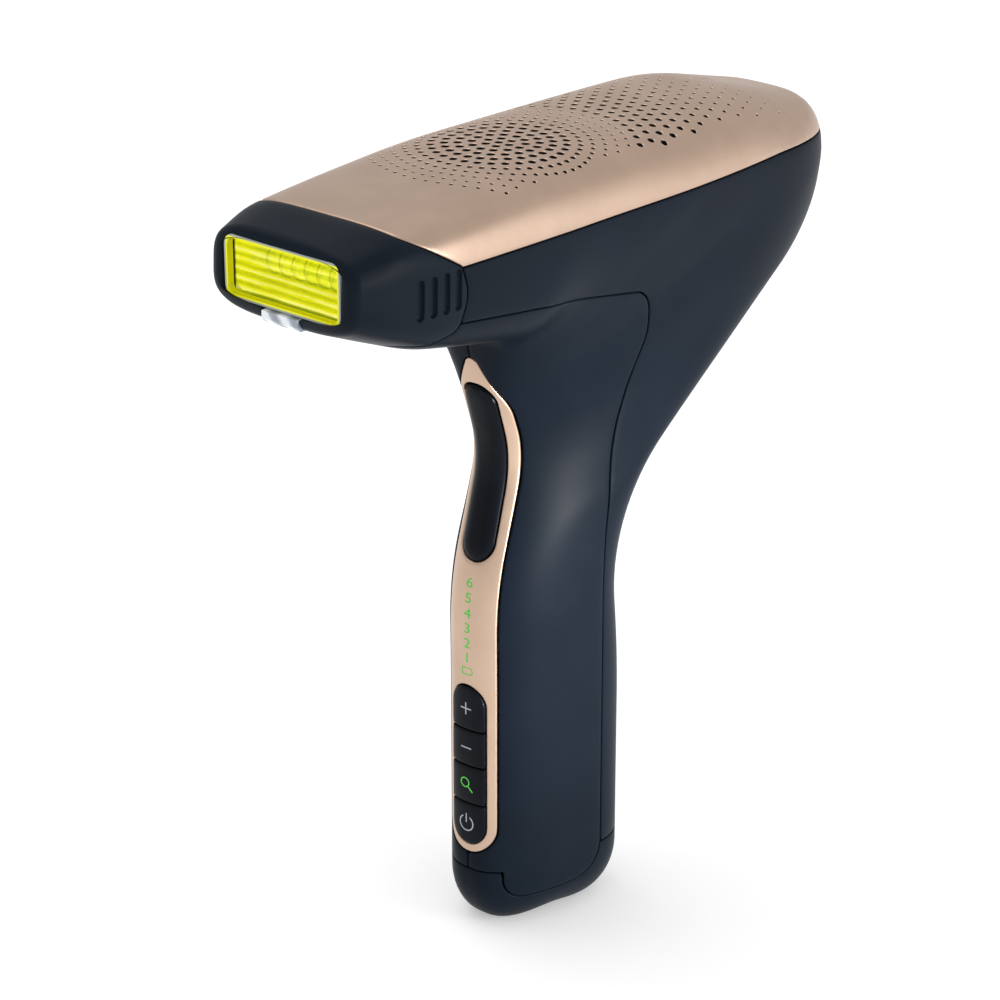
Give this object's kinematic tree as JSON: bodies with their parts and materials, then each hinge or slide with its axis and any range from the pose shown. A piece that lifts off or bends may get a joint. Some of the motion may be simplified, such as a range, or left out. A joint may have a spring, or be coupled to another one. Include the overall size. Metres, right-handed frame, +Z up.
{
  "type": "ipl hair remover",
  "caption": "Hand-held IPL hair remover: long head with a yellow light window and perforated cover on an upright grip with trigger and key pad.",
  "frame": {"origin": "centre of the flat rest face under the handle", "axes": "+Z up the handle, -Y out of the light window, +X to the right of someone looking along +Y"},
  "size_m": [0.0522, 0.1708, 0.1889],
  "materials": {
    "casing_navy": "fine matt moulding texture",
    "attachment_navy": "satin moulding texture",
    "cover_gold": "satin rose-gold lacquer",
    "strip_gold": "satin rose-gold lacquer",
    "key_black": "satin",
    "filter_yellow": "clear yellow filter",
    "sensor_clear": "clear",
    "lamp_glass": "clear quartz",
    "seal_rubber": "matt",
    "reflector_mirror": "polished",
    "steel": "polished",
    "plated_steel": "brushed",
    "copper_wire": "wound wire",
    "ferrite": "matt",
    "board_green": "solder mask",
    "inner_black": "plain",
    "heat_aluminium": "extruded",
    "sleeve_blue": "shrink sleeve",
    "mat_grey": "matt",
    "guide_clear": "light guide"
  },
  "bodies": {
    "housing": {"top_cover": "cover_gold", "rear_housing": "casing_navy", "left_grip_shell": "casing_navy", "right_grip_shell": "casing_navy", "bottom_cap": "casing_navy", "front_strip": "strip_gold", "lamp_nose": "inner_black", "filter_glass": "filter_yellow", "window_seal": "seal_rubber", "reflector": "reflector_mirror", "flash_lamp": "lamp_glass", "lamp_electrodes": "steel", "lamp_holders": "ferrite", "trigger_wire": "steel", "skin_sensor": "board_green", "keeper_plates": "plated_steel", "trigger_pin": "steel", "pin_blocks": "inner_black", "trigger_switch": "inner_black", "key_mat": "mat_grey", "control_board": "board_green", "light_guide": "guide_clear", "lower_battery_cell": "sleeve_blue", "upper_battery_cell": "sleeve_blue", "battery_holder": "inner_black", "charging_socket": "plated_steel", "socket_board": "board_green", "inner_tray": "inner_black", "tray_screws": "plated_steel", "tray_bosses": "inner_black", "fan_posts": "inner_black", "fan_frame": "inner_black", "heat_sink": "heat_aluminium", "power_board": "board_green", "flash_capacitor": "sleeve_blue", "transformer_core": "ferrite", "transformer_coil": "copper_wire", "trigger_coil": "sleeve_blue"},
    "attachment": {"attachment_shell": "attachment_navy", "sensor_window": "sensor_clear", "attachment_magnets": "plated_steel"},
    "trigger": {"trigger": "key_black"},
    "fan_rotor": {"fan_rotor": "inner_black"},
    "power_key": {"power_key": "key_black"},
    "skin_test_key": {"skin_test_key": "key_black"},
    "minus_key": {"minus_key": "key_black"},
    "plus_key": {"plus_key": "key_black"}
  },
  "joints": [
    {"name": "attachment_pull", "type": "slide", "parent": "housing", "child": "attachment", "axis": [0, -1, 0], "range_m": [0, 0.035]},
    {"name": "trigger_press", "type": "hinge", "parent": "housing", "child": "trigger", "pos_m": [0, -0.0122, 0.0972], "axis": [-1, 0, 0], "range_deg": [0, 2.7], "stiffness_Nm_per_rad": 0.6, "springref_deg": -2.86},
    {"name": "fan_spin", "type": "hinge", "parent": "housing", "child": "fan_rotor", "pos_m": [0, -0.013, 0.178], "axis": [0, 0, 1], "continuous": true},
    {"name": "power_key_press", "type": "slide", "parent": "housing", "child": "power_key", "axis": [0, 1, 0], "range_m": [0, 0.0006], "stiffness_N_per_m": 400, "springref_m": -0.0006},
    {"name": "skin_test_key_press", "type": "slide", "parent": "housing", "child": "skin_test_key", "axis": [0, 1, 0], "range_m": [0, 0.0006], "stiffness_N_per_m": 400, "springref_m": -0.0006},
    {"name": "minus_key_press", "type": "slide", "parent": "housing", "child": "minus_key", "axis": [0, 1, 0], "range_m": [0, 0.0006], "stiffness_N_per_m": 400, "springref_m": -0.0006},
    {"name": "plus_key_press", "type": "slide", "parent": "housing", "child": "plus_key", "axis": [0, 1, 0], "range_m": [0, 0.0006], "stiffness_N_per_m": 400, "springref_m": -0.0006}
  ]
}
